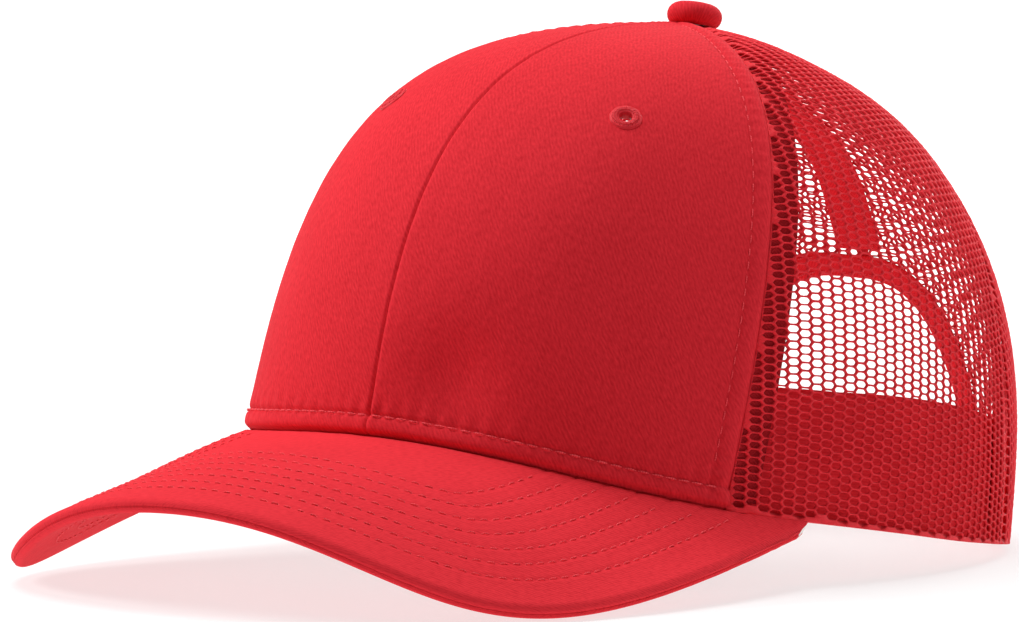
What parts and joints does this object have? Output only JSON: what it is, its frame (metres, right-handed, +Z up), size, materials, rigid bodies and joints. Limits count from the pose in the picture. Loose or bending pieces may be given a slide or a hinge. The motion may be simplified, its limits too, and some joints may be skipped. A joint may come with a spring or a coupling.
{
  "type": "trucker mesh cap",
  "caption": "Red cap with a stiff twill front, open mesh sides and back, a curved visor, a covered top button and a snap closure under a rear arch.",
  "frame": {"origin": "on the surface the cap stands on, below the middle of its overall box", "axes": "+Z up from that surface, -Y forward along the visor, +X to the wearer's left"},
  "size_m": [0.1692, 0.2716, 0.131],
  "materials": {
    "twill": "matt cotton twill, fine steep ribs",
    "mesh": "open polyester net, slight sheen",
    "buckram": "stiff woven lining, matt",
    "tape": "matt herringbone tape",
    "sweatband": "soft brushed cotton, matt",
    "board": "matt polyethylene board",
    "strap": "satin moulded plastic",
    "steel": "plain stamped steel",
    "thread": "embroidery thread, slight sheen"
  },
  "bodies": {
    "cap": {"front_panel_left": "twill", "front_panel_right": "twill", "front_buckram_left": "buckram", "front_buckram_right": "buckram", "side_mesh_left": "mesh", "side_mesh_right": "mesh", "back_mesh_left": "mesh", "back_mesh_right": "mesh", "centre_seam_tape": "tape", "front_seam_tape_left": "tape", "front_seam_tape_right": "tape", "back_seam_tape_left": "tape", "back_seam_tape_right": "tape", "rear_seam_tape": "tape", "sweatband": "sweatband", "opening_binding": "tape", "visor_top_fabric": "twill", "visor_board": "board", "visor_under_fabric": "twill", "button_cover": "twill", "button_shell": "steel", "button_tack": "steel", "eyelet_left": "thread", "eyelet_right": "thread", "peg_strap_tab": "strap", "hole_strap_tab": "strap"},
    "hole_strap_body": {"hole_strap": "strap"},
    "peg_strap_body": {"peg_strap": "strap"}
  },
  "joints": [
    {"name": "hole_strap_bend", "type": "hinge", "parent": "cap", "child": "hole_strap_body", "pos_m": [-0.0278, 0.13064, 0.01134], "axis": [0, 0.2736, 0.9618], "range_deg": [0, 90], "stiffness_Nm_per_rad": 0.02},
    {"name": "peg_strap_bend", "type": "hinge", "parent": "cap", "child": "peg_strap_body", "pos_m": [0.0278, 0.13064, 0.01134], "axis": [0, 0.2736, 0.9618], "range_deg": [0, 45], "stiffness_Nm_per_rad": 0.02}
  ]
}
